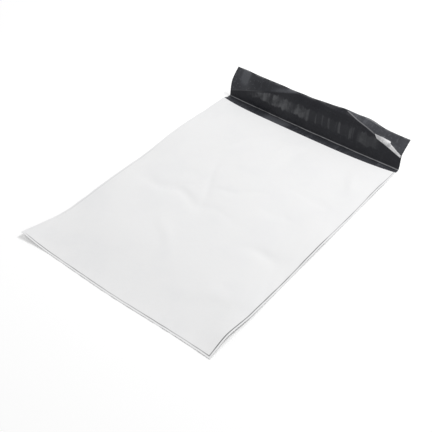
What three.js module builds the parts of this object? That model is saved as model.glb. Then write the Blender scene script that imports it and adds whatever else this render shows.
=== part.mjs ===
// A poly mailer lying empty and open: one flat courier bag of polyethylene film, white outside and charcoal
// inside. A front web and a longer back web are fused along both sides and the bottom, which leaves a flat
// pocket with its mouth at the far end. The back web runs on past the mouth as the closing flap. The flap
// was folded over once, so it springs up from a crease, and its two ends lean further back along slanting
// folds. A band of hot-melt adhesive crosses the flap under a peel-off liner, which stands off the sharp
// fold at the right as a blister.
//
// Millimetres. X runs across the bag, Y from the bottom weld to the flap, Z up. The origin is the middle of
// the pocket's underside, where the back web lies on the table.
import * as THREE from "three";
import { mergeGeometries } from "three/addons/utils/BufferGeometryUtils.js";

// Driving dimensions.
const BAG_WIDTH = 229;
const POCKET_LENGTH = 305;
const FLAP_LENGTH = 45;
const FILM = 0.08;
const WELD_BAND = 4;
const ADHESIVE = { start: 19.5, end: 33.5, thickness: 0.06 };
const LINER = { start: 16, end: 37, thickness: 0.05, endMargin: 1 };
const SEAT_GAP = 0.02;

// How the empty pocket lies: its slack, how far its rim, one corner and a ripple stand off the table, and
// where its edges have drawn in or spread out.
const SLACK = 3.2;
const LIP_SLACK = 0.35;
const SLACK_RISE = 70;
const LIP_RUN = 60;
const CUSHION = { depth: 0.25, acrossWave: 31, acrossPhase: 0.6, alongWave: 47, alongPhase: 1.1 };
const RIM = { lift: 1.7, reach: 42, wave: 112, leftPhase: -2.2, rightPhase: 1 };
const CORNER_CURL = { lift: 3, reach: 27 };
const DRAWN_IN = { by: 6.2, from: -155, mostAt: -95, end: 110 };
const SPREAD = 3;
const SIDE_RIPPLE = { from: -159, to: -95, reach: 26, lift: 1.5, drawnIn: 1.7 };
const OUT_OF_SQUARE = { by: 3.8, fadeFrom: -15, fadeTo: 105 };
const MOUTH = { ends: 2.7, skew: 1.6, drawnBack: 7.5 };

// Folds of the flap. Turns are in degrees, and places are measured up the flap from the end of the pocket.
// A slanting fold has a place at each of its two ends.
const CREASE = { place: 6.6, bow: 1.6, skew: 0.4, turn: 69.3, twist: -5.3, run: 2.4 };
const LEFT_FOLD = { from: [-BAG_WIDTH / 2, 14.5], to: [-18, 43.2], turn: -12, run: 2.5 };
const LEFT_ROLL = { from: [-BAG_WIDTH / 2, 20.5], to: [-18, 49.2], turn: -32, run: 30 };
const RIGHT_FOLD = { from: [41.7, 45], to: [BAG_WIDTH / 2, 23.6], turn: -32, run: 2.5 };
const TOP_CURL = { place: 40, turn: -30, run: 4, halfWidth: 90, fade: 60 };
const FLAP_SHIFT = { by: 3, full: 5, fadeFrom: 8, fadeTo: 30 };
const FREE_EDGE = { bulge: 4.2, rise: [-10, 60], fall: [62, 92] };
const CHAIN_STEP = 0.25;

// The blister where the stiff liner bridges the right-hand fold.
const LINER_BLISTER = { from: 74, to: BAG_WIDTH / 2, height: 1.6, below: 2, above: 7 };

// How finely the film is faceted.
const COLUMNS = 34;
const POCKET_ROWS = 18;
const LIP_ROWS = 2;
const CREASE_ROWS = 4;
const BARE_ROWS = 2;
const LINER_MARGIN_ROWS = 2;
const ADHESIVE_ROWS = 7;
const TOP_ROWS = 5;

const HALF_WIDTH = BAG_WIDTH / 2;
const HALF_LENGTH = POCKET_LENGTH / 2;
const POCKET_HALF = HALF_WIDTH - WELD_BAND;
const NORMAL_STEP = 0.05;

const { clamp, inverseLerp, lerp, smoothstep, degToRad: radians } = THREE.MathUtils;

// 0 outside two limits, and a smooth hump to 1 halfway between them.
function hump(value, low, high) {
  return Math.sin(Math.PI * clamp(inverseLerp(low, high, value), 0, 1)) ** 2;
}

// Distance of the mouth from the bottom edge. It is cut straight, and draws back where the front web is
// slack.
function mouthRow(x) {
  const u = x / HALF_WIDTH;
  return POCKET_LENGTH + MOUTH.ends + MOUTH.skew * u - MOUTH.drawnBack * (1 - u ** 4);
}

// Height of the back web off the table: flat in the middle, waves along both sides with one ripple near the
// bottom, and one corner curled up.
function lift(x, y) {
  const nearSide = smoothstep(Math.abs(x), HALF_WIDTH - RIM.reach, HALF_WIDTH);
  const fromFlap = smoothstep(HALF_LENGTH - y, 0, RIM.reach);
  const phase = x < 0 ? RIM.leftPhase : RIM.rightPhase;
  const wave = 1 + Math.sin((2 * Math.PI * y) / RIM.wave + phase);
  const alongDiagonal = (x + HALF_WIDTH + y + HALF_LENGTH) / Math.SQRT2;
  const curl = Math.max(0, 1 - alongDiagonal / CORNER_CURL.reach);
  const atRight = smoothstep(x, HALF_WIDTH - SIDE_RIPPLE.reach, HALF_WIDTH);
  const ripple = atRight * hump(y, SIDE_RIPPLE.from, SIDE_RIPPLE.to);
  const rim = (RIM.lift / 2) * nearSide * fromFlap * wave;
  return rim + CORNER_CURL.lift * curl * curl + SIDE_RIPPLE.lift * ripple;
}

// Gap between the two webs: nothing at the welds, a few millimetres of air inside, a slack lip at the
// mouth.
function slack(x, y) {
  const across = Math.max(0, 1 - Math.abs(x / POCKET_HALF) ** 3);
  const fromBottom = smoothstep(y + HALF_LENGTH - WELD_BAND, 0, SLACK_RISE);
  const towardsLip = lerp(LIP_SLACK, 1, smoothstep(HALF_LENGTH - y, 0, LIP_RUN));
  const acrossWave = Math.sin(x / CUSHION.acrossWave + CUSHION.acrossPhase);
  const alongWave = Math.sin(y / CUSHION.alongWave + CUSHION.alongPhase);
  return SLACK * across * fromBottom * towardsLip * (1 + CUSHION.depth * acrossWave * alongWave);
}

// How far the film has drawn in from the left side: most near the curled corner, and fading across the bag.
function drawnIn(x, y) {
  const rising = smoothstep(y, DRAWN_IN.from, DRAWN_IN.mostAt);
  const falling = 1 - smoothstep(y, DRAWN_IN.mostAt, DRAWN_IN.end);
  return DRAWN_IN.by * rising * falling * ((HALF_WIDTH - x) / BAG_WIDTH) ** 2;
}

// How far the right side has spread out over the table: evenly, apart from the ripple, and fading across
// the bag.
function spread(x, y) {
  const ripple = SIDE_RIPPLE.drawnIn * hump(y, SIDE_RIPPLE.from, SIDE_RIPPLE.to);
  return (SPREAD - ripple) * ((HALF_WIDTH + x) / BAG_WIDTH) ** 2;
}

// How far the bottom edge runs out of square: most over its left half, and fading up the bag.
function outOfSquare(x, y) {
  const nearBottom = 1 - smoothstep(y, -HALF_LENGTH, 0);
  return OUT_OF_SQUARE.by * nearBottom * (1 - smoothstep(x, OUT_OF_SQUARE.fadeFrom, OUT_OF_SQUARE.fadeTo));
}

// How far the film lies to the right of its own column. The flap has slipped most just past the crease, and
// is in line again at its free edge.
function sideways(x, y, past) {
  const slipped = FLAP_SHIFT.by * (1 - smoothstep(past, FLAP_SHIFT.fadeFrom, FLAP_SHIFT.fadeTo));
  return lerp(drawnIn(x, y) + spread(x, y), slipped, smoothstep(past, 0, FLAP_SHIFT.full));
}

// Where the crease crosses the column at x: nearest the pocket in the middle, bowed away at both ends.
function creasePlace(x) {
  const u = x / HALF_WIDTH;
  return CREASE.place + CREASE.bow * u * u + CREASE.skew * u;
}

// Where a slanting fold crosses the column at x, measured up the flap from the end of the pocket.
function foldPlace(fold, x) {
  const share = (x - fold.from[0]) / (fold.to[0] - fold.from[0]);
  return lerp(fold.from[1], fold.to[1], share);
}

// Slope of the flap in degrees above level: the crease turns it up, and each fold past it turns it back
// again.
function flapSlope(x, past) {
  const turned = (fold, place) => fold.turn * smoothstep(past, place, place + fold.run);
  const twist = CREASE.twist * (x / HALF_WIDTH);
  const middle = smoothstep(TOP_CURL.halfWidth - Math.abs(x), 0, TOP_CURL.fade);
  return (
    turned({ turn: CREASE.turn + twist, run: CREASE.run }, creasePlace(x)) +
    turned(LEFT_FOLD, foldPlace(LEFT_FOLD, x)) +
    turned(LEFT_ROLL, foldPlace(LEFT_ROLL, x)) +
    turned(RIGHT_FOLD, foldPlace(RIGHT_FOLD, x)) +
    turned(TOP_CURL, TOP_CURL.place) * middle
  );
}

// A point of the back web's inner face. Past the pocket, a column is a chain of short steps, each at the
// flap's slope.
function webInside(x, along) {
  const y = Math.min(along - HALF_LENGTH, HALF_LENGTH);
  const past = Math.max(along - POCKET_LENGTH, 0);
  const point = new THREE.Vector3(x + sideways(x, y, past), y - outOfSquare(x, y), FILM + lift(x, y));
  const steps = Math.ceil(past / CHAIN_STEP);
  for (let i = 0; i < steps; i++) {
    const slope = radians(flapSlope(x, ((i + 0.5) * past) / steps));
    point.y += (past / steps) * Math.cos(slope);
    point.z += (past / steps) * Math.sin(slope);
  }
  return point;
}

// The back web's inner face moved along its own normal: down by the film for the outer face, up for what
// lies on it.
function offWeb(x, along, distance) {
  const across = webInside(x + NORMAL_STEP, along).sub(webInside(x - NORMAL_STEP, along));
  const up = webInside(x, along + NORMAL_STEP).sub(webInside(x, along - NORMAL_STEP));
  return webInside(x, along).addScaledVector(across.cross(up).normalize(), distance);
}

const webOutside = (x, along) => offWeb(x, along, -FILM);

function frontInside(x, along) {
  const point = webInside(x, along);
  point.z += slack(x, along - HALF_LENGTH);
  return point;
}

function frontOutside(x, along) {
  const point = frontInside(x, along);
  point.z += FILM;
  return point;
}

// Evenly spaced values from one end to the other, both included.
function spaced(from, to, count) {
  return Array.from({ length: count + 1 }, (_, i) => lerp(from, to, i / count));
}

// Columns across the bag, with one on each weld line.
const columns = [-HALF_WIDTH, ...spaced(-POCKET_HALF, POCKET_HALF, COLUMNS - 2), HALF_WIDTH];
const pocketColumns = columns.slice(1, -1);

// Rows along the web, each a distance from the bottom edge at x. Pocket rows stretch with the mouth, and
// the next ones with the crease. The rows of the liner and the adhesive are straight, and the last ones
// reach the free edge.
function rowsBetween(from, to, count) {
  return spaced(0, 1, count).map((share) => (x) => lerp(from(x), to(x), share));
}
const straightRow = (distance) => () => POCKET_LENGTH + distance;
const bottomRow = () => 0;
const weldRow = () => WELD_BAND;
const creaseRow = (x) => POCKET_LENGTH + creasePlace(x);
const creaseEndRow = (x) => creaseRow(x) + CREASE.run;
function freeEdgeRow(x) {
  const bulge = smoothstep(x, ...FREE_EDGE.rise) * (1 - smoothstep(x, ...FREE_EDGE.fall));
  return POCKET_LENGTH + FLAP_LENGTH + FREE_EDGE.bulge * bulge;
}
const weldRows = rowsBetween(weldRow, mouthRow, POCKET_ROWS);
const pocketRows = [bottomRow, ...weldRows];
const adhesiveRows = rowsBetween(straightRow(ADHESIVE.start), straightRow(ADHESIVE.end), ADHESIVE_ROWS);
const linerRows = [
  ...rowsBetween(straightRow(LINER.start), straightRow(ADHESIVE.start), LINER_MARGIN_ROWS).slice(0, -1),
  ...adhesiveRows,
  ...rowsBetween(straightRow(ADHESIVE.end), straightRow(LINER.end), LINER_MARGIN_ROWS).slice(1),
];
const flapRows = [
  ...rowsBetween(mouthRow, creaseRow, LIP_ROWS),
  ...rowsBetween(creaseRow, creaseEndRow, CREASE_ROWS).slice(1),
  ...rowsBetween(creaseEndRow, straightRow(LINER.start), BARE_ROWS).slice(1, -1),
  ...linerRows,
  ...rowsBetween(straightRow(LINER.end), freeEdgeRow, TOP_ROWS).slice(1),
];

// One face of a sheet: a grid of triangles over columns and rows, facing up from the sheet, or down when
// turned.
function face(columnsOfFace, rowsOfFace, pointAt, turned = false) {
  const positions = [];
  const index = [];
  const stride = columnsOfFace.length;
  for (const row of rowsOfFace) {
    for (const x of columnsOfFace) {
      positions.push(...pointAt(x, row(x)).toArray());
    }
  }
  for (let j = 0; j + 1 < rowsOfFace.length; j++) {
    for (let i = 0; i + 1 < stride; i++) {
      const a = j * stride + i;
      const quad = [a, a + 1, a + stride + 1, a, a + stride + 1, a + stride];
      index.push(...(turned ? quad.reverse() : quad));
    }
  }
  const geometry = new THREE.BufferGeometry();
  geometry.setAttribute("position", new THREE.Float32BufferAttribute(positions, 3));
  return geometry.setIndex(index);
}

// The cut edge between two faces of a sheet, along one side of it.
function cutEdge(stations, lower, upper, turned = false) {
  const layers = [() => 0, () => 1];
  const places = stations.map((_, i) => i);
  const pointAt = (i, layer) => (layer ? upper : lower)(...stations[i]);
  return face(places, layers, pointAt, turned);
}

// The four cut edges of a strip of sheet, between its lower and upper faces.
function cutEdges(columnsOfStrip, rowsOfStrip, lower, upper) {
  const alongRow = (row) => columnsOfStrip.map((x) => [x, row(x)]);
  const alongColumn = (x) => rowsOfStrip.map((row) => [x, row(x)]);
  return [
    cutEdge(alongRow(rowsOfStrip[0]), lower, upper),
    cutEdge(alongRow(rowsOfStrip.at(-1)), lower, upper, true),
    cutEdge(alongColumn(columnsOfStrip[0]), lower, upper, true),
    cutEdge(alongColumn(columnsOfStrip.at(-1)), lower, upper),
  ];
}

// Gives every vertex of some faces one colour, so that a single film can be white outside and charcoal
// inside.
function tinted(faces, colour) {
  const tint = new THREE.Color(colour);
  for (const geometry of faces) {
    const tints = Array.from({ length: geometry.attributes.position.count }, () => tint.toArray()).flat();
    geometry.setAttribute("color", new THREE.Float32BufferAttribute(tints, 3));
  }
  return faces;
}

// Joins faces that share their edges into one closed skin, with flat-shaded facets.
function skin(faces) {
  const joined = mergeGeometries(faces).toNonIndexed();
  joined.computeVertexNormals();
  return joined;
}

const WHITE = 0xeeeeef;
const CHARCOAL = 0x2b2c30;

function filmBag() {
  const outside = [
    face(columns, pocketRows, frontOutside),
    face(columns, [...pocketRows, ...flapRows.slice(1)], webOutside, true),
  ];
  const inside = [
    face(pocketColumns, weldRows, frontInside, true),
    face(pocketColumns, weldRows, webInside),
    face(columns, flapRows, webInside),
  ];
  const alongRow = (row) => columns.map((x) => [x, row(x)]);
  const alongColumn = (x, rows) => rows.map((row) => [x, row(x)]);
  const edges = [
    cutEdge(alongRow(bottomRow), webOutside, frontInside),
    cutEdge(alongRow(bottomRow), frontInside, frontOutside),
    cutEdge(alongRow(mouthRow), frontInside, frontOutside, true),
    cutEdge(alongRow(freeEdgeRow), webOutside, webInside, true),
  ];
  for (const x of [-HALF_WIDTH, HALF_WIDTH]) {
    edges.push(
      cutEdge(alongColumn(x, pocketRows), webOutside, frontInside, x < 0),
      cutEdge(alongColumn(x, pocketRows), frontInside, frontOutside, x < 0),
      cutEdge(alongColumn(x, flapRows), webOutside, webInside, x < 0),
    );
  }
  const material = new THREE.MeshStandardMaterial({ vertexColors: true, roughness: 0.42, metalness: 0 });
  const faces = [...tinted(outside, WHITE), ...tinted(inside, CHARCOAL), ...tinted(edges, WHITE)];
  const mesh = new THREE.Mesh(skin(faces), material);
  mesh.name = "film_bag";
  return mesh;
}

// A thin strip lying on the flap, between two heights above the film's inner face.
function strip(name, columnsOfStrip, rowsOfStrip, lower, upper, material) {
  const faces = [
    face(columnsOfStrip, rowsOfStrip, upper),
    face(columnsOfStrip, rowsOfStrip, lower, true),
    ...cutEdges(columnsOfStrip, rowsOfStrip, lower, upper),
  ];
  const mesh = new THREE.Mesh(skin(faces), material);
  mesh.name = name;
  return mesh;
}

function adhesiveBand() {
  const material = new THREE.MeshStandardMaterial({ color: 0x35353a, roughness: 0.25, metalness: 0 });
  const lower = (x, along) => offWeb(x, along, SEAT_GAP);
  const upper = (x, along) => offWeb(x, along, SEAT_GAP + ADHESIVE.thickness);
  return strip("adhesive_band", pocketColumns, adhesiveRows, lower, upper, material);
}

// Height of the liner's blister: a hump along the right-hand fold, highest halfway along it and just above
// it.
function blister(x, along) {
  const fromFold = along - POCKET_LENGTH - foldPlace(RIGHT_FOLD, x);
  const across = hump(x, LINER_BLISTER.from, LINER_BLISTER.to);
  const up = hump(fromFold, -LINER_BLISTER.below, LINER_BLISTER.above);
  return LINER_BLISTER.height * across * up;
}

function releaseLiner() {
  const material = new THREE.MeshStandardMaterial({ color: 0x46474c, roughness: 0.3, metalness: 0 });
  const seat = 2 * SEAT_GAP + ADHESIVE.thickness;
  const lower = (x, along) => offWeb(x, along, seat + blister(x, along));
  const upper = (x, along) => offWeb(x, along, seat + blister(x, along) + LINER.thickness);
  const ends = [LINER.endMargin - HALF_WIDTH, HALF_WIDTH - LINER.endMargin];
  const linerColumns = [ends[0], ...pocketColumns, ends[1]];
  return strip("release_liner", linerColumns, linerRows, lower, upper, material);
}

const mailer = new THREE.Group();
mailer.name = "poly_mailer";
mailer.add(filmBag(), adhesiveBand(), releaseLiner());

export default mailer;
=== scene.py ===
import math
import bpy
import numpy as np
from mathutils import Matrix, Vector


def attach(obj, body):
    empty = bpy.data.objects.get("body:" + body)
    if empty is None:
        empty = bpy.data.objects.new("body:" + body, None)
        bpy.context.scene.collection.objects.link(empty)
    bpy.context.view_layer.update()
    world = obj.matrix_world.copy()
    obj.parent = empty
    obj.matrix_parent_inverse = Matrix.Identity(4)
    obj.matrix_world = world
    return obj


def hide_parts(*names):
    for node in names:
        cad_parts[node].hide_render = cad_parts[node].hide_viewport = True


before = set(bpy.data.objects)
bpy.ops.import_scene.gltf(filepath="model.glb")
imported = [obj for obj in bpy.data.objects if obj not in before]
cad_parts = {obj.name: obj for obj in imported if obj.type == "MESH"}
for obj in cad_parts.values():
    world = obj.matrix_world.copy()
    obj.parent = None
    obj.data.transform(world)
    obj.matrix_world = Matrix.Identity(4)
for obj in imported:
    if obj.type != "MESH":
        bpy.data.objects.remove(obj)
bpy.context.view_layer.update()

# Camera
# A short telephoto looks down on the bag over its near corner, so that the flap stands up at the far end.
# At this lens, angle and distance a bag of this size fills the picture as the real one does.
MM = 0.001
LENS = 58.75
AZIMUTH = math.radians(39.35)
ELEVATION = math.radians(42.8)
DISTANCE = 698.8 * MM
LOOKS_AT = Vector((12.66, -16.72, 0.2)) * MM

towards_camera = Vector((
    math.sin(AZIMUTH) * math.cos(ELEVATION),
    -math.cos(AZIMUTH) * math.cos(ELEVATION),
    math.sin(ELEVATION),
))
camera = bpy.data.objects.new("camera", bpy.data.cameras.new("camera"))
camera.data.lens = LENS
camera.location = LOOKS_AT + towards_camera * DISTANCE
camera.rotation_euler = towards_camera.to_track_quat("Z", "Y").to_euler()
bpy.context.scene.collection.objects.link(camera)
bpy.context.scene.camera = camera

# Film bag
# One co-extruded polyethylene film, white outside and charcoal inside. A front web and a longer back web
# are fused along both sides and the bottom, and the back web runs on past the mouth as the closing flap. The
# flap was folded over once, so it springs up from a crease, and its ends lean back along slanting folds.
BAG_WIDTH = 229 * MM
POCKET_LENGTH = 305 * MM
FLAP_LENGTH = 45 * MM
FILM = 0.08 * MM
WELD_BAND = 4 * MM
HALF_WIDTH = BAG_WIDTH / 2
HALF_LENGTH = POCKET_LENGTH / 2
POCKET_HALF = HALF_WIDTH - WELD_BAND

# The cushion of air in the pocket, and its mouth
SLACK = 3.2 * MM
LEAST_SLACK = 0.3 * MM
SLACK_FULLNESS = 3
SLACK_RISE = 70 * MM
LIP_SLACK = 0.35
LIP_RUN = 60 * MM
CUSHION_DEPTH = 0.25
CUSHION_ACROSS = 31 * MM
CUSHION_ALONG = 47 * MM
CUSHION_PHASES = (0.6, 1.1)
MOUTH_ENDS = 2.7 * MM
MOUTH_SKEW = 1.6 * MM
MOUTH_DRAWN_BACK = 7.5 * MM
MOUTH_FLATNESS = 4

# How the bag's edges lift, bow and run out of square
RIM_LIFT = 1.7 * MM
RIM_REACH = 42 * MM
RIM_WAVE = 112 * MM
RIM_PHASES = (-2.2, 1)
CURL_LIFT = 3 * MM
CURL_REACH = 27 * MM
RIPPLE_ALONG = (-159 * MM, -95 * MM)
RIPPLE_REACH = 26 * MM
RIPPLE_LIFT = 1.5 * MM
RIPPLE_DRAWN_IN = 1.7 * MM
DRAWN_IN = 6.2 * MM
DRAWN_IN_FROM = -155 * MM
DRAWN_IN_AT = -95 * MM
DRAWN_IN_END = 110 * MM
SPREAD = 3 * MM
OUT_OF_SQUARE = 3.8 * MM
OUT_OF_SQUARE_FADE = (-15 * MM, 105 * MM)

# The flap's crease, folds and free edge, with each place measured up the flap from the mouth
CREASE_PLACE = 6.6 * MM
CREASE_BOW = 1.6 * MM
CREASE_SKEW = 0.4 * MM
CREASE_TURN = math.radians(69.3)
CREASE_TWIST = math.radians(-5.3)
CREASE_RUN = 2.4 * MM
FLAP_SHIFT = 3 * MM
FLAP_SHIFT_FULL = 5 * MM
FLAP_SHIFT_FADE = (8 * MM, 30 * MM)
LEFT_FOLD = {
    "x": (-HALF_WIDTH, -18 * MM),
    "place": (14.5 * MM, 43.2 * MM),
    "turn": math.radians(-12),
    "run": 2.5 * MM,
}
LEFT_ROLL = {
    "x": (-HALF_WIDTH, -18 * MM),
    "place": (20.5 * MM, 49.2 * MM),
    "turn": math.radians(-32),
    "run": 30 * MM,
}
RIGHT_FOLD = {
    "x": (41.7 * MM, HALF_WIDTH),
    "place": (45 * MM, 23.6 * MM),
    "turn": math.radians(-32),
    "run": 2.5 * MM,
}
TOP_CURL = {
    "place": 40 * MM,
    "turn": math.radians(-30),
    "run": 4 * MM,
    "half_width": 90 * MM,
    "fade": 60 * MM,
}
FREE_EDGE_BULGE = 4.2 * MM
FREE_EDGE_RISE = (-10 * MM, 60 * MM)
FREE_EDGE_FALL = (62 * MM, 92 * MM)
CHAIN_STEPS = 168
NORMAL_STEP = 0.05 * MM


def smoothstep(value, low, high):
    """0 below low and 1 above high, with a cubic ease between them."""
    t = np.clip((value - low) / (high - low), 0, 1)
    return t * t * (3 - 2 * t)


def hump(value, low, high):
    """0 outside two limits, and a squared sine that rises to 1 halfway between them."""
    return np.sin(np.pi * np.clip((value - low) / (high - low), 0, 1)) ** 2


def wave_set(seed, count, shortest, longest):
    """Angles, lengths and phases of a set of small waves, the same in each run."""
    draw = np.random.default_rng(seed)
    angles = draw.uniform(0, np.pi, count)
    lengths = draw.uniform(shortest, longest, count)
    phases = draw.uniform(0, 2 * np.pi, count)
    return angles, lengths, phases


def small_waves(x, y, waves):
    """A sum of small sine waves that cross at many angles, scaled to about -1 to 1."""
    shape = (-1,) + (1,) * np.ndim(x + y)
    angle, length, phase = (value.reshape(shape) for value in waves)
    across = x * np.cos(angle) + y * np.sin(angle)
    return np.sin(2 * np.pi * across / length + phase).sum(0) / math.sqrt(len(angle))


PUCKERS = wave_set(seed=11, count=7, shortest=9 * MM, longest=24 * MM)
PUCKER_HEIGHT = 0.35 * MM
PUCKER_REACH = 9 * MM
CRUMPLE = wave_set(seed=8, count=10, shortest=14 * MM, longest=70 * MM)
CRUMPLE_TURN = math.radians(3)
CRUMPLE_RISE = 14 * MM

# Each main crease of the front web: where it starts and ends, its width and its height, in millimetres
MAIN_CREASES = (
    ((-104, -14), (-4, -18), 8, -1.3),
    ((68, -34), (108, -27), 7, -2),
    ((58, -107), (104, -80), 8, 1.5),
    ((100, 96), (88, 130), 7, 2.4),
    ((46, 20), (73, 20), 6, -0.7),
    ((66, 60), (104, 62), 7, -1.1),
    ((-26, -49), (5, -79), 6, 0.6),
)
CREASE_REACH = 0.6
CREASE_BENDS = wave_set(seed=17, count=5, shortest=35 * MM, longest=90 * MM)
CREASE_BEND = 4 * MM
FAINT_CREASES = 24
FAINT_SEED = 29
FAINT_ACROSS = (-0.85 * HALF_WIDTH, 0.85 * HALF_WIDTH)
FAINT_ALONG = (-0.85 * HALF_LENGTH, 0.8 * HALF_LENGTH)
FAINT_ANGLES = (0.9, 0.7)
FAINT_REACHES = (20 * MM, 55 * MM)
FAINT_WIDTHS = (3.5 * MM, 8 * MM)
FAINT_HEIGHT = 0.6 * MM


def laid_crease(start, end, width, height):
    """A main crease in metres: the two coordinates of its middle, its angle, reach, width and height."""
    run = (end[0] - start[0], end[1] - start[1])
    middle = ((start[0] + end[0]) / 2 * MM, (start[1] + end[1]) / 2 * MM)
    reach = CREASE_REACH * math.hypot(*run) * MM
    return *middle, math.atan2(run[1], run[0]), reach, width * MM, height * MM


def faint_creases():
    """Faint creases strewn over the front web, the same in each run: one row for each value of a crease."""
    draw = np.random.default_rng(FAINT_SEED)
    return np.array([
        draw.uniform(*FAINT_ACROSS, FAINT_CREASES),
        draw.uniform(*FAINT_ALONG, FAINT_CREASES),
        draw.normal(*FAINT_ANGLES, FAINT_CREASES),
        draw.uniform(*FAINT_REACHES, FAINT_CREASES),
        draw.uniform(*FAINT_WIDTHS, FAINT_CREASES),
        draw.uniform(-FAINT_HEIGHT, FAINT_HEIGHT, FAINT_CREASES),
    ])


main_creases = np.array([laid_crease(*crease) for crease in MAIN_CREASES]).T
face_creases = np.concatenate([main_creases, faint_creases()], 1)


def soft_creases(x, y):
    """Height of the front web's soft creases: a sum of long, gently bent bell-shaped ridges and dips."""
    shape = (-1,) + (1,) * np.ndim(x)
    middle_x, middle_y, angle, reach, width, height = (value.reshape(shape) for value in face_creases)
    u = (x - middle_x) * np.cos(angle) + (y - middle_y) * np.sin(angle)
    v = (y - middle_y) * np.cos(angle) - (x - middle_x) * np.sin(angle)
    bent = v + CREASE_BEND * small_waves(x, y, CREASE_BENDS)
    return (height * np.exp(-((u / reach) ** 2) - (bent / width) ** 2)).sum(0)


def pucker(x, y):
    """Height of the puckers that the welds left as they shrank: small waves that die away from them."""
    to_edge = np.minimum(HALF_WIDTH - np.abs(x), y + HALF_LENGTH)
    wave = np.maximum(0, 1 + small_waves(x, y, PUCKERS)) / 2
    return PUCKER_HEIGHT * np.exp(-to_edge / PUCKER_REACH) * wave


def lift(x, y):
    """Height of the back web off the table: flat in the middle, with wavy, rippled sides and a curl."""
    near_side = smoothstep(np.abs(x), HALF_WIDTH - RIM_REACH, HALF_WIDTH)
    from_flap = smoothstep(HALF_LENGTH - y, 0, RIM_REACH)
    wave = 1 + np.sin(2 * np.pi * y / RIM_WAVE + np.where(x < 0, *RIM_PHASES))
    along_diagonal = (x + HALF_WIDTH + y + HALF_LENGTH) / math.sqrt(2)
    curl = np.maximum(0, 1 - along_diagonal / CURL_REACH)
    ripple = smoothstep(x, HALF_WIDTH - RIPPLE_REACH, HALF_WIDTH) * hump(y, *RIPPLE_ALONG)
    rim = RIM_LIFT / 2 * near_side * from_flap * wave
    return rim + CURL_LIFT * curl * curl + RIPPLE_LIFT * ripple + pucker(x, y) * from_flap


def slack(x, y):
    """Gap between the webs: none at the welds, a creased cushion of air, and a flatter lip at the mouth."""
    across = np.maximum(0, 1 - np.abs(x / POCKET_HALF) ** SLACK_FULLNESS)
    from_bottom = smoothstep(y + HALF_LENGTH - WELD_BAND, 0, SLACK_RISE)
    from_mouth = smoothstep(HALF_LENGTH - y, 0, LIP_RUN)
    swell = np.sin(x / CUSHION_ACROSS + CUSHION_PHASES[0]) * np.sin(y / CUSHION_ALONG + CUSHION_PHASES[1])
    cushion = SLACK * (LIP_SLACK + (1 - LIP_SLACK) * from_mouth) * (1 + CUSHION_DEPTH * swell)
    creases = soft_creases(x, y) * from_mouth
    return across * from_bottom * np.maximum(cushion + creases, LEAST_SLACK)


def fold_place(fold, x):
    """Where a slanting fold crosses the column at x: a straight line between its two ends."""
    share = (x - fold["x"][0]) / (fold["x"][1] - fold["x"][0])
    return fold["place"][0] + (fold["place"][1] - fold["place"][0]) * share


def crease_place(x):
    """Where the crease crosses the column at x: a skewed parabola, nearest the mouth about the middle."""
    u = x / HALF_WIDTH
    return CREASE_PLACE + CREASE_BOW * u * u + CREASE_SKEW * u


def flap_slope(x, past):
    """Slope of the flap above level: the crease turns it up, and each fold past it turns it back."""
    crease = crease_place(x)
    left = fold_place(LEFT_FOLD, x)
    roll = fold_place(LEFT_ROLL, x)
    right = fold_place(RIGHT_FOLD, x)
    curl = TOP_CURL["place"]
    middle = smoothstep(TOP_CURL["half_width"] - np.abs(x), 0, TOP_CURL["fade"])
    return (
        (CREASE_TURN + CREASE_TWIST * x / HALF_WIDTH) * smoothstep(past, crease, crease + CREASE_RUN)
        + LEFT_FOLD["turn"] * smoothstep(past, left, left + LEFT_FOLD["run"])
        + LEFT_ROLL["turn"] * smoothstep(past, roll, roll + LEFT_ROLL["run"])
        + RIGHT_FOLD["turn"] * smoothstep(past, right, right + RIGHT_FOLD["run"])
        + TOP_CURL["turn"] * middle * smoothstep(past, curl, curl + TOP_CURL["run"])
        + CRUMPLE_TURN * smoothstep(past, crease, crease + CRUMPLE_RISE) * small_waves(x, past, CRUMPLE)
    )


def drawn_in(x, y):
    """How far the film has drawn in from the left: most near the curled corner, less across the bag."""
    along = smoothstep(y, DRAWN_IN_FROM, DRAWN_IN_AT) * smoothstep(y, DRAWN_IN_END, DRAWN_IN_AT)
    return DRAWN_IN * along * ((HALF_WIDTH - x) / BAG_WIDTH) ** 2


def spread(x, y):
    """How far the right side has spread out: evenly, apart from the ripple, and less across the bag."""
    return (SPREAD - RIPPLE_DRAWN_IN * hump(y, *RIPPLE_ALONG)) * ((HALF_WIDTH + x) / BAG_WIDTH) ** 2


def out_of_square(x, y):
    """How far the bottom edge runs out of square: most over its left half, and fading up the bag."""
    return OUT_OF_SQUARE * smoothstep(y, 0, -HALF_LENGTH) * smoothstep(x, *OUT_OF_SQUARE_FADE[::-1])


def sideways(x, y, past):
    """How far the film lies right of its own column: the flap has slipped most just past the crease."""
    pocket = drawn_in(x, y) + spread(x, y)
    slipped = FLAP_SHIFT * smoothstep(past, *FLAP_SHIFT_FADE[::-1])
    return pocket + (slipped - pocket) * smoothstep(past, 0, FLAP_SHIFT_FULL)


def back_inside(x, along):
    """Inner face of the back web. Past the mouth, a column is a sum of short steps at the flap's slope."""
    y = np.minimum(along - HALF_LENGTH, HALF_LENGTH)
    past = np.maximum(along - POCKET_LENGTH, 0)
    points = np.stack([x + sideways(x, y, past), y - out_of_square(x, y), FILM + lift(x, y)], -1)
    bent = past > 0
    shares = (np.arange(CHAIN_STEPS) + 0.5) / CHAIN_STEPS
    slope = flap_slope(x[bent][:, None], past[bent][:, None] * shares)
    points[bent, 1] += past[bent] * np.cos(slope).mean(-1)
    points[bent, 2] += past[bent] * np.sin(slope).mean(-1)
    return points


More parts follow.
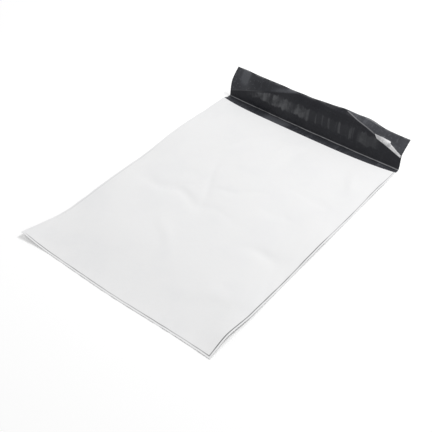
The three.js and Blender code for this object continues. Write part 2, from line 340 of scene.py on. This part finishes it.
def off_web(x, along, distance):
    """The back web's inner face moved along its own normal, the cross product of its two tangents."""
    across = back_inside(x + NORMAL_STEP, along) - back_inside(x - NORMAL_STEP, along)
    up = back_inside(x, along + NORMAL_STEP) - back_inside(x, along - NORMAL_STEP)
    normal = np.cross(across, up)
    normal /= np.linalg.norm(normal, axis=-1, keepdims=True)
    return back_inside(x, along) + np.asarray(distance)[..., None] * normal


def back_outside(x, along):
    """Outer face of the back web, one film below its inner face."""
    return off_web(x, along, np.full(x.shape, -FILM))


def front_inside(x, along):
    """Inner face of the front web, above the back web by the slack."""
    return back_inside(x, along) + slack(x, along - HALF_LENGTH)[..., None] * np.array([0, 0, 1])


def front_outside(x, along):
    """Outer face of the front web, one film above its inner face."""
    return front_inside(x, along) + np.array([0, 0, FILM])


def mouth_along(x):
    """Distance of the mouth from the bottom edge: a flat curve, drawn back where the web is slack."""
    u = x / HALF_WIDTH
    return POCKET_LENGTH + MOUTH_ENDS + MOUTH_SKEW * u - MOUTH_DRAWN_BACK * (1 - u**MOUTH_FLATNESS)


def free_edge_past(x):
    """Distance of the flap's free edge past the pocket, with a slight bulge over the right fold."""
    bulge = smoothstep(x, *FREE_EDGE_RISE) * smoothstep(x, *FREE_EDGE_FALL[::-1])
    return FLAP_LENGTH + FREE_EDGE_BULGE * bulge


GRID_STEP = 2 * MM
FLAP_STEP = 0.5 * MM
LIP_ROWS = 12
WELD_STEPS = 2
weld_columns = np.linspace(POCKET_HALF, HALF_WIDTH, WELD_STEPS + 1)[1:]
pocket_columns = np.linspace(-POCKET_HALF, POCKET_HALF, round(2 * POCKET_HALF / GRID_STEP) + 1)
columns = np.concatenate([-weld_columns[::-1], pocket_columns, weld_columns])
inner = slice(WELD_STEPS, -WELD_STEPS)


def stretched(x, low, high, count):
    """Rows evenly spread between two lines across the bag, one row for each share of the way."""
    shares = np.linspace(0, 1, count + 1)[:, None]
    return low + (high - low) * shares + 0 * x


def grid(x, along):
    """A row of x and a table of distances along the web, as two tables of one shape."""
    return np.broadcast_to(x, along.shape), along


mouth_line = mouth_along(columns)
crease_line = POCKET_LENGTH + crease_place(columns)
free_edge_line = POCKET_LENGTH + free_edge_past(columns)
weld_rows = stretched(columns, 0, WELD_BAND, WELD_STEPS)
pocket_rows = stretched(columns, WELD_BAND, mouth_line, round(POCKET_LENGTH / GRID_STEP))
lip_rows = stretched(columns, mouth_line, crease_line, LIP_ROWS)
flap_count = round((FLAP_LENGTH - CREASE_PLACE) / FLAP_STEP)
past_crease = stretched(columns, crease_line, free_edge_line, flap_count)
front_rows = np.concatenate([weld_rows[:-1], pocket_rows])
flap_rows = np.concatenate([lip_rows[:-1], past_crease])
web_rows = np.concatenate([front_rows, flap_rows[1:]])

OUTSIDE, INSIDE = 0, 1


def sheet_face(shape, x, along, material, turned=False):
    """One face of a sheet: the points of a shape over a grid, with where each lies on the web."""
    x, along = grid(x, along)
    web = np.stack([x, along], -1)
    return {"points": shape(x, along), "web": web, "material": material, "turned": turned}


def cut_edge(lower, upper, x, along, turned=False):
    """The cut edge between two faces of a sheet, as a grid of two rows."""
    points = np.stack([lower(x, along), upper(x, along)])
    web = np.broadcast_to(np.stack([x, along], -1), (2, len(along), 2))
    return {"points": points, "web": web, "material": INSIDE, "turned": turned}


def side_edges(lower, upper, x, along):
    """The two cut edges along the sides of a sheet."""
    x, along = grid(x, along)
    return [
        cut_edge(lower, upper, x[:, 0], along[:, 0], turned=True),
        cut_edge(lower, upper, x[:, -1], along[:, -1]),
    ]


def grid_quads(face, start):
    """The quads of a face's grid of points, wound to face up from it, or down when it is turned."""
    rows, cols = face["points"].shape[:2]
    corner = start + np.arange(rows * cols).reshape(rows, cols)
    quads = np.stack([corner[:-1, :-1], corner[:-1, 1:], corner[1:, 1:], corner[1:, :-1]], -1)
    quads = quads.reshape(-1, 4)
    return quads[:, ::-1] if face["turned"] else quads


WELD_DISTANCE = 0.0005 * MM
SHARP_ANGLE = math.radians(50)


def joined(name, faces):
    """Joins faces into one mesh with shared edges welded, and keeps each point's place on the web."""
    points = np.concatenate([face["points"].reshape(-1, 3) for face in faces])
    web = np.concatenate([face["web"].reshape(-1, 2) for face in faces])
    starts = np.cumsum([0] + [face["web"].size // 2 for face in faces])
    quads = [grid_quads(face, start) for face, start in zip(faces, starts)]
    materials = np.concatenate([np.full(len(quad), face["material"]) for face, quad in zip(faces, quads)])
    keys = np.round(points / WELD_DISTANCE).astype(np.int64)
    kept, welded = np.unique(keys, axis=0, return_index=True, return_inverse=True)[1:]
    mesh = bpy.data.meshes.new(name)
    mesh.from_pydata(points[kept], [], welded.reshape(-1)[np.concatenate(quads)])
    mesh.polygons.foreach_set("material_index", materials.astype(np.int32))
    on_web = mesh.attributes.new("on_web", "FLOAT_VECTOR", "POINT")
    on_web.data.foreach_set("vector", np.pad(web[kept], ((0, 0), (0, 1))).astype(np.float32).ravel())
    mesh.shade_smooth()
    mesh.set_sharp_from_angle(angle=SHARP_ANGLE)
    piece = bpy.data.objects.new(name, mesh)
    bpy.context.scene.collection.objects.link(piece)
    return piece


film_bag = joined("film_bag_skin", [
    sheet_face(front_outside, columns, front_rows, OUTSIDE),
    sheet_face(back_outside, columns, web_rows, OUTSIDE, turned=True),
    sheet_face(front_inside, columns[inner], pocket_rows[:, inner], INSIDE, turned=True),
    sheet_face(back_inside, columns[inner], pocket_rows[:, inner], INSIDE),
    sheet_face(back_inside, columns, flap_rows, INSIDE),
    cut_edge(back_outside, front_inside, columns, front_rows[0]),
    cut_edge(front_inside, front_outside, columns, front_rows[0]),
    cut_edge(front_inside, front_outside, columns, front_rows[-1], turned=True),
    cut_edge(back_outside, back_inside, columns, flap_rows[-1], turned=True),
    *side_edges(back_outside, front_inside, columns, front_rows),
    *side_edges(front_inside, front_outside, columns, front_rows),
    *side_edges(back_outside, back_inside, columns, flap_rows),
])


class Shade:
    """A socket in a shader expression: its operators add Math nodes, and add() adds any other node."""

    def __init__(self, tree, socket=None):
        self.tree = tree
        self.socket = socket

    def add(self, kind, settings, inputs, output=0):
        """Adds a node: its settings first, then the value or link of each socket that inputs names."""
        node = self.tree.nodes.new(kind)
        for name, value in settings.items():
            setattr(node, name, value)
        for key, value in inputs.items():
            if isinstance(value, Shade):
                self.tree.links.new(value.socket, node.inputs[key])
            else:
                node.inputs[key].default_value = value
        return Shade(self.tree, node.outputs[output])

    def math(self, operation, *values):
        """A Math node on one or more values."""
        return self.add("ShaderNodeMath", {"operation": operation}, dict(enumerate(values)))

    def __add__(self, other):
        return self.math("ADD", self, other)

    def __sub__(self, other):
        return self.math("SUBTRACT", self, other)

    def __mul__(self, other):
        return self.math("MULTIPLY", self, other)

    def __truediv__(self, other):
        return self.math("DIVIDE", self, other)

    def __radd__(self, other):
        return self.math("ADD", other, self)

    def __rsub__(self, other):
        return self.math("SUBTRACT", other, self)

    def __rmul__(self, other):
        return self.math("MULTIPLY", other, self)

    def __abs__(self):
        return self.math("ABSOLUTE", self)

    def ease(self, low, high):
        """0 at low and 1 at high, with a cubic ease between them. Low may be the larger."""
        span = {"Value": self, "From Min": low, "From Max": high}
        return self.add("ShaderNodeMapRange", {"interpolation_type": "SMOOTHSTEP"}, span)

    def noise(self, size, detail=2.0):
        """Noise from about 0.3 to 0.7 over these coordinates, in patches about as large as size."""
        inputs = {"Vector": self, "Scale": 1 / size, "Detail": detail}
        return self.add("ShaderNodeTexNoise", {}, inputs, "Fac")

    def patches(self, size, detail, low, high):
        """Noise eased from 0 where it is at low to 1 where it is at high."""
        return self.noise(size, detail).ease(low, high)

    def mix(self, first, second):
        """The first colour where this value is 0 and the second where it is 1."""
        return self.add("ShaderNodeMix", {"data_type": "RGBA"}, {0: self, 6: first, 7: second}, 2)

    def bump(self, depth):
        """This value as a height, for a shader's Normal."""
        return self.add("ShaderNodeBump", {}, {"Height": self, "Distance": depth}, "Normal")


def new_material(name):
    """A material with one Principled shader, and the start of its expressions."""
    material = bpy.data.materials.new(name)
    material.use_nodes = True
    return material, material.node_tree.nodes["Principled BSDF"], Shade(material.node_tree)


def feed(shader, name, value):
    """Feeds an expression to one of the shader's sockets."""
    value.tree.links.new(value.socket, shader.inputs[name])


def place_on_web(start):
    """The film's own coordinates at a point: across the bag, and along the web from the bottom edge."""
    web = start.add("ShaderNodeAttribute", {"attribute_name": "on_web"}, {}, "Vector")
    across = web.add("ShaderNodeSeparateXYZ", {}, {0: web}, "X")
    along = web.add("ShaderNodeSeparateXYZ", {}, {0: web}, "Y")
    return web, across, along


def uneven_gloss(web, least, swing, size, detail):
    """Roughness that wanders up from its least value in soft patches."""
    return least + swing * web.noise(size, detail)


# The white face and the line along its welds, with each set of patches a size, a detail and two limits
WHITE = (0.825, 0.825, 0.828, 1)
# The shaded clouds are partly the film's uneven tone and partly painted shade of its soft wrinkles
WHITE_SHADED = (0.81, 0.811, 0.817, 1)
WHITE_SHADE_CLOUDS = (45 * MM, 4.0, 0.45, 0.65)
WHITE_GLOSS = (0.42, 0.16, 24 * MM, 2.0)
WHITE_GRAIN = (7 * MM, 3.0)
WHITE_GRAIN_DEPTH = 0.12 * MM
WHITE_SPECULAR = 0.4
SEAM_GREY = (0.09, 0.091, 0.096, 1)
SEAM_PLACE = 2.0 * MM
SEAM_WIDTH = 0.7 * MM
SEAM_CORE = 0.3 * SEAM_WIDTH
SEAM_DENT = 0.4
SEAM_EVEN = 0.4
SEAM_PATCHY = 0.25
SEAM_PATCHES = (35 * MM, 2.0, 0.4, 0.6)
SEAM_AT_CORNER = 0.35
SEAM_CORNER_ACROSS = (0.9 * HALF_WIDTH, HALF_WIDTH)
SEAM_CORNER_ALONG = (80 * MM, 20 * MM)
SEAM_OFF_LEFT = (-HALF_WIDTH, -0.9 * HALF_WIDTH)
SEAM_ON_LEFT = 0.3
SEAM_LEFT_FROM = (40 * MM, 70 * MM)
SEAM_LEFT_TO = (190 * MM, 160 * MM)


def white_film():
    """Satin white film: clouds of painted shade, and a broken grey line where the welds fused the charcoal
    layer.
    """
    material, shader, start = new_material("white_film")
    web, across, along = place_on_web(start)
    to_side = HALF_WIDTH - abs(across)
    to_edge = to_side.math("MINIMUM", to_side, along)
    seam = abs(to_edge - SEAM_PLACE).ease(SEAM_WIDTH, SEAM_CORE)
    on_left = along.ease(*SEAM_LEFT_FROM) * along.ease(*SEAM_LEFT_TO) * SEAM_ON_LEFT
    shown = across.ease(*SEAM_OFF_LEFT) + on_left
    at_corner = across.ease(*SEAM_CORNER_ACROSS) * along.ease(*SEAM_CORNER_ALONG)
    pressed = SEAM_EVEN + SEAM_AT_CORNER * at_corner + SEAM_PATCHY * web.patches(*SEAM_PATCHES)
    white = web.patches(*WHITE_SHADE_CLOUDS).mix(WHITE, WHITE_SHADED)
    feed(shader, "Base Color", (seam * shown * pressed).mix(white, SEAM_GREY))
    feed(shader, "Roughness", uneven_gloss(web, *WHITE_GLOSS))
    feed(shader, "Normal", (web.noise(*WHITE_GRAIN) - SEAM_DENT * seam).bump(WHITE_GRAIN_DEPTH))
    shader.inputs["Specular IOR Level"].default_value = WHITE_SPECULAR
    return material


# The charcoal face, its painted sheen where the flap faces up, and how much each kind of mark adds to it
CHARCOAL = (0.006, 0.0067, 0.0105, 1)
CHARCOAL_GLOSS = (0.26, 0.2, 14 * MM, 3.0)
CHARCOAL_SPECULAR = 0.22
FILM_GRAIN = (9 * MM, 4.0)
FILM_GRAIN_DEPTH = 0.8 * MM
SHEEN_AND_SMUDGE_GREY = (0.075, 0.078, 0.088, 1)
SHEEN_EVEN = 0.46
SMUDGE = 0.25
SMUDGE_PATCHES = (12 * MM, 4.0, 0.32, 0.68)
RUB = 0.7
RUB_PATCHES = (5 * MM, 3.0, 0.56, 0.72)
RUB_STRETCH = 0.15
SCUFF = 0.9
SCUFF_PATCHES = (3 * MM, 3.0, 0.58, 0.7)
LEFT_RUB = 2.3
LEFT_RUB_PLACE = -97 * MM
LEFT_RUB_REACH = 9 * MM
LEFT_RUB_RISE = (24 * MM, 38 * MM)
# A painted highlight on a bump just above the left fold
WEDGE_HIGHLIGHT = 1.8
WEDGE_HIGHLIGHT_PLACE = -38 * MM
WEDGE_HIGHLIGHT_REACH = (22 * MM, 4 * MM)
WEDGE_HIGHLIGHT_TOP = (8 * MM, 3 * MM)
SHEEN_LEFT = 0.72
SHEEN_LEFT_LOSS = 0.36
SHEEN_LEFT_FADE = (-100 * MM, -72 * MM)
SHEEN_RIGHT = 0.95
SHEEN_BEFORE_CREASE = 0.55
BEFORE_CREASE = (-0.3 * MM, -1.5 * MM)
LIGHTER_TO_RIGHT = 0.14
LIGHTER_TO_RIGHT_RUN = (-100 * MM, 60 * MM)


def flap_colour(web, across, past):
    """Charcoal, with painted sheen above both slanting folds and before the crease, in smudges, rubs and
    scuffs.
    """
    over_left = past - fold_place(LEFT_FOLD, across)
    over_right = past - fold_place(RIGHT_FOLD, across)
    before_crease = (past - crease_place(across)).ease(*BEFORE_CREASE)
    upright = web.add("ShaderNodeCombineXYZ", {}, {0: across, 1: past * RUB_STRETCH})
    left_rub = abs(across - LEFT_RUB_PLACE).ease(LEFT_RUB_REACH, 0) * past.ease(*LEFT_RUB_RISE)
    # The painted highlight above the left fold
    wedge_highlight = abs(across - WEDGE_HIGHLIGHT_PLACE).ease(*WEDGE_HIGHLIGHT_REACH) * over_left.ease(*WEDGE_HIGHLIGHT_TOP)
    sheen_and_marks = (
        SHEEN_EVEN
        + SMUDGE * web.patches(*SMUDGE_PATCHES)
        + RUB * upright.patches(*RUB_PATCHES)
        + SCUFF * web.patches(*SCUFF_PATCHES)
        + LEFT_RUB * left_rub
        + WEDGE_HIGHLIGHT * wedge_highlight
    )
    # Painted sheen: paler grey where the flap faces up, above the folds and before the crease, and to the
    # right
    painted_sheen = (
        over_left.ease(0, LEFT_FOLD["run"]) * (SHEEN_LEFT - SHEEN_LEFT_LOSS * across.ease(*SHEEN_LEFT_FADE))
        + over_right.ease(0, RIGHT_FOLD["run"]) * SHEEN_RIGHT
        + before_crease * SHEEN_BEFORE_CREASE
        + across.ease(*LIGHTER_TO_RIGHT_RUN) * LIGHTER_TO_RIGHT
    )
    return (painted_sheen * sheen_and_marks).mix(CHARCOAL, SHEEN_AND_SMUDGE_GREY)


# The painted highlight lines along the crease, the folds and the free edge
PAINTED_HIGHLIGHT_WHITE = (0.24, 0.24, 0.25, 1)
HIGHLIGHT_LINE = 0.95 * MM
HIGHLIGHT_CORE = 0.2 * HIGHLIGHT_LINE
HIGHLIGHT_ROUND_TURN = 0.4
CREASE_WANDER = 1 * MM
CREASE_WANDER_SIZE = 18 * MM
CREASE_EVEN = 0.42
CREASE_PATCHY = 0.5
CREASE_PATCHES = (9 * MM, 2.0, 0.35, 0.6)
CREASE_TO_RIGHT = 0.5
CREASE_TO_RIGHT_RUN = (-60 * MM, HALF_WIDTH)
LEFT_HIGHLIGHT = 0.15
LEFT_HIGHLIGHT_END = -60 * MM
RIGHT_HIGHLIGHT_END = 86 * MM
FOLD_HIGHLIGHT_IN = 3 * MM
FOLD_HIGHLIGHT_OUT = 14 * MM
EDGE_HIGHLIGHT = 0.7
EDGE_HIGHLIGHT_WIDTH = 2 * MM
EDGE_PATCHES = (12 * MM, 2.0, 0.35, 0.65)
EDGE_GLINT = 0.6
EDGE_GLINT_WIDTH = (2.4 * MM, 1.2 * MM)
EDGE_GLINT_FROM = (60 * MM, 66 * MM)
EDGE_GLINT_TO = (84 * MM, 76 * MM)


def painted_crease_highlight(web, across, past):
    """A thin painted highlight along the crease that wanders, breaks up in patches and gets stronger to the
    right.
    """
    wander = (web.noise(CREASE_WANDER_SIZE) - 0.5) * CREASE_WANDER
    from_line = past - crease_place(across) - HIGHLIGHT_ROUND_TURN * CREASE_RUN + wander
    patchy = CREASE_PATCHY * web.patches(*CREASE_PATCHES)
    strength = CREASE_EVEN + patchy + CREASE_TO_RIGHT * across.ease(*CREASE_TO_RIGHT_RUN)
    return abs(from_line).ease(HIGHLIGHT_LINE, HIGHLIGHT_CORE) * strength


def painted_fold_highlight(fold, across, past, first, last):
    """A thin painted highlight along the top of a slanting fold, between two places across the bag."""
    from_line = past - fold_place(fold, across) - HIGHLIGHT_ROUND_TURN * fold["run"]
    span = across.ease(first - FOLD_HIGHLIGHT_IN, first) * across.ease(last, last - FOLD_HIGHLIGHT_OUT)
    return abs(from_line).ease(HIGHLIGHT_LINE, HIGHLIGHT_CORE) * span


def painted_fold_highlights(across, past):
    """The painted highlights along both slanting folds, faint on the soft left one and strong on the sharp
    one.
    """
    left = painted_fold_highlight(LEFT_FOLD, across, past, -HALF_WIDTH, LEFT_HIGHLIGHT_END)
    right = painted_fold_highlight(RIGHT_FOLD, across, past, RIGHT_FOLD["x"][0], RIGHT_HIGHLIGHT_END)
    return left * LEFT_HIGHLIGHT + right


def painted_edge_highlights(web, across, past):
    """Painted highlights along the free edge: a patchy line, and a bright stretch above the right fold."""
    bulge = FREE_EDGE_BULGE * across.ease(*FREE_EDGE_RISE) * across.ease(*FREE_EDGE_FALL[::-1])
    to_edge = FLAP_LENGTH + bulge - past
    line = to_edge.ease(EDGE_HIGHLIGHT_WIDTH, 0) * web.patches(*EDGE_PATCHES)
    glint = to_edge.ease(*EDGE_GLINT_WIDTH) * across.ease(*EDGE_GLINT_FROM) * across.ease(*EDGE_GLINT_TO)
    return line * EDGE_HIGHLIGHT + glint * EDGE_GLINT


def charcoal_film():
    """Glossy charcoal film, with painted highlights along the crease, the tops of the folds and the free
    edge.
    """
    material, shader, start = new_material("charcoal_film")
    web, across, along = place_on_web(start)
    past = along - POCKET_LENGTH
    # Painted highlights along the crease, the tops of the folds and the free edge
    painted_highlights = painted_crease_highlight(web, across, past) + painted_fold_highlights(across, past) + painted_edge_highlights(web, across, past)
    feed(shader, "Base Color", painted_highlights.mix(flap_colour(web, across, past), PAINTED_HIGHLIGHT_WHITE))
    feed(shader, "Roughness", uneven_gloss(web, *CHARCOAL_GLOSS))
    feed(shader, "Normal", web.noise(*FILM_GRAIN).bump(FILM_GRAIN_DEPTH))
    shader.inputs["Specular IOR Level"].default_value = CHARCOAL_SPECULAR
    return material


film_bag.data.materials.append(white_film())
film_bag.data.materials.append(charcoal_film())
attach(film_bag, "root")
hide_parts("film_bag")

# Adhesive band
# A strip of clear hot melt laid across the flap's charcoal face. It is tacky, glossy and shows the film's
# colour. The liner covers it until the bag is sealed.
ADHESIVE_START = 19.5 * MM
ADHESIVE_END = 33.5 * MM
ADHESIVE_THICKNESS = 0.06 * MM
SEAT_GAP = 0.02 * MM
adhesive_top = SEAT_GAP + ADHESIVE_THICKNESS


def strip(name, x, start, end, lower, upper):
    """A closed strip lying on the flap between two distances past the mouth."""
    rows = stretched(x, POCKET_LENGTH + start, POCKET_LENGTH + end, round((end - start) / FLAP_STEP))
    return joined(name, [
        sheet_face(upper, x, rows, OUTSIDE),
        sheet_face(lower, x, rows, OUTSIDE, turned=True),
        cut_edge(lower, upper, x, rows[0]),
        cut_edge(lower, upper, x, rows[-1], turned=True),
        *side_edges(lower, upper, x, rows),
    ])


def raised(height):
    """A surface at an even height over the back web's inner face."""
    return lambda x, along: off_web(x, along, np.full(x.shape, height))


MELT_DARK = (0.012, 0.012, 0.013, 1)
MELT_PALE = (0.02, 0.02, 0.022, 1)
MELT_CLOUD_SIZE = 6 * MM
MELT_GLOSS = (0.1, 0.15, 8 * MM, 2.0)
MELT_GRAIN_SIZE = 4 * MM
MELT_GRAIN_DEPTH = 0.05 * MM
RIB_PITCH = 1.5 * MM
RIB_SHARE = 0.3


def hot_melt():
    """Clear tacky hot melt over charcoal film, with faint ribs from the nozzle it was laid with."""
    material, shader, start = new_material("hot_melt")
    web, across, along = place_on_web(start)
    rib = along.math("SINE", along * (2 * math.pi / RIB_PITCH))
    feed(shader, "Base Color", web.noise(MELT_CLOUD_SIZE).mix(MELT_DARK, MELT_PALE))
    feed(shader, "Roughness", uneven_gloss(web, *MELT_GLOSS))
    feed(shader, "Normal", (rib * RIB_SHARE + web.noise(MELT_GRAIN_SIZE)).bump(MELT_GRAIN_DEPTH))
    return material


adhesive_faces = (raised(SEAT_GAP), raised(adhesive_top))
adhesive = strip("adhesive_strip", pocket_columns, ADHESIVE_START, ADHESIVE_END, *adhesive_faces)
adhesive.data.materials.append(hot_melt())
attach(adhesive, "root")
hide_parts("adhesive_band")

# Release liner
# A thin strip of hazy release film over the adhesive, a little wider than it on both sides. It is dark where
# it lies flat, grey in a band of patches and streaks, and pale where it has lifted. It stands off the sharp
# fold as a blister.
LINER_START = 16 * MM
LINER_END = 37 * MM
LINER_THICKNESS = 0.05 * MM
LINER_MARGIN = 1 * MM
BLISTER_ACROSS = (74 * MM, HALF_WIDTH)
BLISTER_BELOW = 2 * MM
BLISTER_ABOVE = 7 * MM
BLISTER_HEIGHT = 1.6 * MM
liner_seat = adhesive_top + SEAT_GAP


def liner_face(height):
    """A surface over the flap that rises off it at the blister, a hump along the right fold."""

    def face(x, along):
        from_fold = along - POCKET_LENGTH - fold_place(RIGHT_FOLD, x)
        blister = hump(x, *BLISTER_ACROSS) * hump(from_fold, -BLISTER_BELOW, BLISTER_ABOVE)
        return off_web(x, along, height + BLISTER_HEIGHT * blister)

    return face


# Grey marks on the liner in a band: a haze, streaks and a patch, each with its least and its added strength
LINER_PATCH_GREY = (0.105, 0.107, 0.114, 1)
GREY_BAND_BOTTOM = (18 * MM, 20.5 * MM)
GREY_BAND_TOP = (33 * MM, 30 * MM)
GREY_BAND_RAGGED = 12 * MM
GREY_BAND_RAGGED_NOISE = (6 * MM, 3.0)
GREY_UPRIGHT_PATCHES = (8 * MM, 3.0, 0.38, 0.6)
GREY_PATCHES = (10 * MM, 3.0, 0.32, 0.62)
HAZE = (0.12, 0.8)
HAZE_FROM = (-92 * MM, -76 * MM)
HAZE_TO = (8 * MM, -24 * MM)
HAZE_BELOW_FOLD = (0.5 * MM, -1.5 * MM)
STREAKS = (0.08, 0.45)
STREAKS_TO = (60 * MM, 52 * MM)
STREAK_STRETCH = 0.06
STREAK_PATCHES = (4.5 * MM, 2.0, 0.52, 0.64)
PATCH = (0.22, 0.3)
PATCH_FROM = (58 * MM, 66 * MM)
PATCH_TO = (90 * MM, 80 * MM)


def liner_grey_patches(web, across, past):
    """How grey the liner is in its band: a haze at the left, upright streaks, and a patch at the right."""
    upright = web.add("ShaderNodeCombineXYZ", {}, {0: across, 1: past * RUB_STRETCH})
    streaked = web.add("ShaderNodeCombineXYZ", {}, {0: across, 1: past * STREAK_STRETCH})
    uneven = upright.patches(*GREY_UPRIGHT_PATCHES) * web.patches(*GREY_PATCHES)
    ragged = past + (upright.noise(*GREY_BAND_RAGGED_NOISE) - 0.5) * GREY_BAND_RAGGED
    in_band = ragged.ease(*GREY_BAND_BOTTOM) * ragged.ease(*GREY_BAND_TOP)
    below_fold = (past - fold_place(LEFT_FOLD, across)).ease(*HAZE_BELOW_FOLD)
    in_haze = below_fold * across.ease(*HAZE_FROM) * across.ease(*HAZE_TO)
    in_streaks = across.ease(*HAZE_TO[::-1]) * across.ease(*STREAKS_TO)
    in_patch = across.ease(*PATCH_FROM) * across.ease(*PATCH_TO)
    return in_band * (
        in_haze * (HAZE[0] + HAZE[1] * uneven)
        + in_streaks * (STREAKS[0] + STREAKS[1] * streaked.patches(*STREAK_PATCHES))
        + in_patch * (PATCH[0] + PATCH[1] * uneven)
    )


# The sliver where the liner has lifted, with each side's place on the fold and its slope across the bag
LIFTED_PALE = (0.84, 0.84, 0.85, 1)
LIFTED_GREY = (0.58, 0.58, 0.59, 1)
LIFTED_PATCHES = (6 * MM, 3.0, 0.62, 0.4)
LIFTED_RISE = (71 * MM, 0.21)
LIFTED_DROP = (99.5 * MM, -2.4)
LIFTED_TAIL = (125.5 * MM, -0.115)
LIFTED_CUT = (80.5 * MM, 81.3 * MM)
LIFTED_CUT_SLANT = 1.2
LIFTED_BOTTOM = (-1.8 * MM, -1.08 * MM)
LIFTED_RIM = 0.5 * MM
LIFTED_RAGGED = 1.5 * MM
LIFTED_RAGGED_NOISE = (3 * MM, 3.0)


def lifted_sliver(web, across, above):
    """Where the liner has lifted: a sliver on the right fold, between straight lines with a ragged rim."""
    sides = (LIFTED_RISE, LIFTED_DROP, LIFTED_TAIL)
    rise, drop, tail = ((across - place) * slope for place, slope in sides)
    top = rise.math("MINIMUM", rise, drop.math("MAXIMUM", drop, tail))
    ragged = (web.noise(*LIFTED_RAGGED_NOISE) - 0.5) * LIFTED_RAGGED
    cut = (across + above * LIFTED_CUT_SLANT).ease(*LIFTED_CUT)
    return cut * (top + ragged - above).ease(0, LIFTED_RIM) * above.ease(*LIFTED_BOTTOM)


LINER_GLOSS = (0.24, 0.2, 9 * MM, 3.0)
BLISTER_DULL = 0.4
BLISTER_DULL_ACROSS = (BLISTER_ACROSS[0], 84 * MM)


def release_film():
    """Clear release film: the flap's colour with its painted sheen, grey patches, painted fold highlights,
    pale where lifted.
    """
    material, shader, start = new_material("release_film")
    web, across, along = place_on_web(start)
    past = along - POCKET_LENGTH
    above = past - fold_place(RIGHT_FOLD, across)
    # The flap's colour carries its painted sheen, and the fold lines are painted highlights
    liner_base = liner_grey_patches(web, across, past).mix(flap_colour(web, across, past), LINER_PATCH_GREY)
    painted_highlights = painted_fold_highlights(across, past).mix(liner_base, PAINTED_HIGHLIGHT_WHITE)
    pale = web.patches(*LIFTED_PATCHES).mix(LIFTED_GREY, LIFTED_PALE)
    blister = across.ease(*BLISTER_DULL_ACROSS) * above.ease(-BLISTER_BELOW, 0)
    feed(shader, "Base Color", lifted_sliver(web, across, above).mix(painted_highlights, pale))
    feed(shader, "Roughness", uneven_gloss(web, *LINER_GLOSS) + blister * BLISTER_DULL)
    feed(shader, "Normal", web.noise(*FILM_GRAIN).bump(FILM_GRAIN_DEPTH))
    shader.inputs["Specular IOR Level"].default_value = CHARCOAL_SPECULAR
    return material


liner_end = HALF_WIDTH - LINER_MARGIN
liner_columns = np.linspace(-liner_end, liner_end, round(2 * liner_end / GRID_STEP) + 1)
liner_faces = (liner_face(liner_seat), liner_face(liner_seat + LINER_THICKNESS))
liner = strip("liner_strip", liner_columns, LINER_START, LINER_END, *liner_faces)
liner.data.materials.append(release_film())
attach(liner, "root")
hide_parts("release_liner")

# Table and light
# A plain white table in an even pale room, which bleaches to the room's white away from the bag. One soft
# box stands over the flap's end of the bag, and a weaker one at the front left opens up the shade.
TABLE_HALF = 4.0
TABLE_DROP = 0.1 * MM
TABLE_WHITE = (0.97, 0.97, 0.97, 1)
TABLE_BLEACH = 0.5
BLEACH_BY_BAG = 0.18
BLEACH_RUN = (0.4, 1.6)
FULL_WHITE = (1, 1, 1, 1)
FULL_BLACK = (0, 0, 0, 1)
ROOM_LIGHT = 0.5
ROOM_WHITE = 1.0


def seen_directly(start):
    """1 for camera, glossy and transmission rays, which show a surface as it is, and 0 for others."""
    names = ("Is Camera Ray", "Is Glossy Ray", "Is Transmission Ray")
    camera_ray, glossy, through = (start.add("ShaderNodeLightPath", {}, {}, name) for name in names)
    return start.math("MAXIMUM", start.math("MAXIMUM", camera_ray, glossy), through)


def bleached_white():
    """Dull white that also glows for direct rays: a little by the bag, and more further from it."""
    material, shader, start = new_material("table_white")
    place = start.add("ShaderNodeTexCoord", {}, {}, "Object")
    distance = start.add("ShaderNodeVectorMath", {"operation": "LENGTH"}, {0: place}, "Value")
    bleached = BLEACH_BY_BAG + (1 - BLEACH_BY_BAG) * distance.ease(*BLEACH_RUN)
    shader.inputs["Base Color"].default_value = TABLE_WHITE
    shader.inputs["Roughness"].default_value = 1.0
    shader.inputs["Specular IOR Level"].default_value = 0.0
    shader.inputs["Emission Strength"].default_value = TABLE_BLEACH
    feed(shader, "Emission Color", (seen_directly(start) * bleached).mix(FULL_BLACK, FULL_WHITE))
    return material


table_mesh = bpy.data.meshes.new("table")
table_corners = np.array([(-1, -1), (1, -1), (1, 1), (-1, 1)]) * TABLE_HALF
table_mesh.from_pydata([(x, y, -TABLE_DROP) for x, y in table_corners], [], [(0, 1, 2, 3)])
table = bpy.data.objects.new("table", table_mesh)
bpy.context.scene.collection.objects.link(table)
table_mesh.materials.append(bleached_white())

world = bpy.data.worlds.new("room")
world.use_nodes = True
room = world.node_tree.nodes["Background"]
room.inputs["Color"].default_value = FULL_WHITE
feed(room, "Strength", ROOM_LIGHT + (ROOM_WHITE - ROOM_LIGHT) * seen_directly(Shade(world.node_tree)))
bpy.context.scene.world = world


def softbox(name, place, size, power):
    """A square soft light that looks at the middle of the bag."""
    lamp = bpy.data.lights.new(name, "AREA")
    lamp.size = size
    lamp.energy = power
    box = bpy.data.objects.new(name, lamp)
    box.location = place
    box.visible_camera = False
    box.rotation_euler = Vector(place).to_track_quat("Z", "Y").to_euler()
    bpy.context.scene.collection.objects.link(box)


softbox("far_box", place=(0.3, 0.8, 1.1), size=0.4, power=10.8)
softbox("front_left_box", place=(-0.6, -0.4, 1.1), size=0.5, power=2.0)

bpy.context.scene.view_settings.view_transform = "Standard"
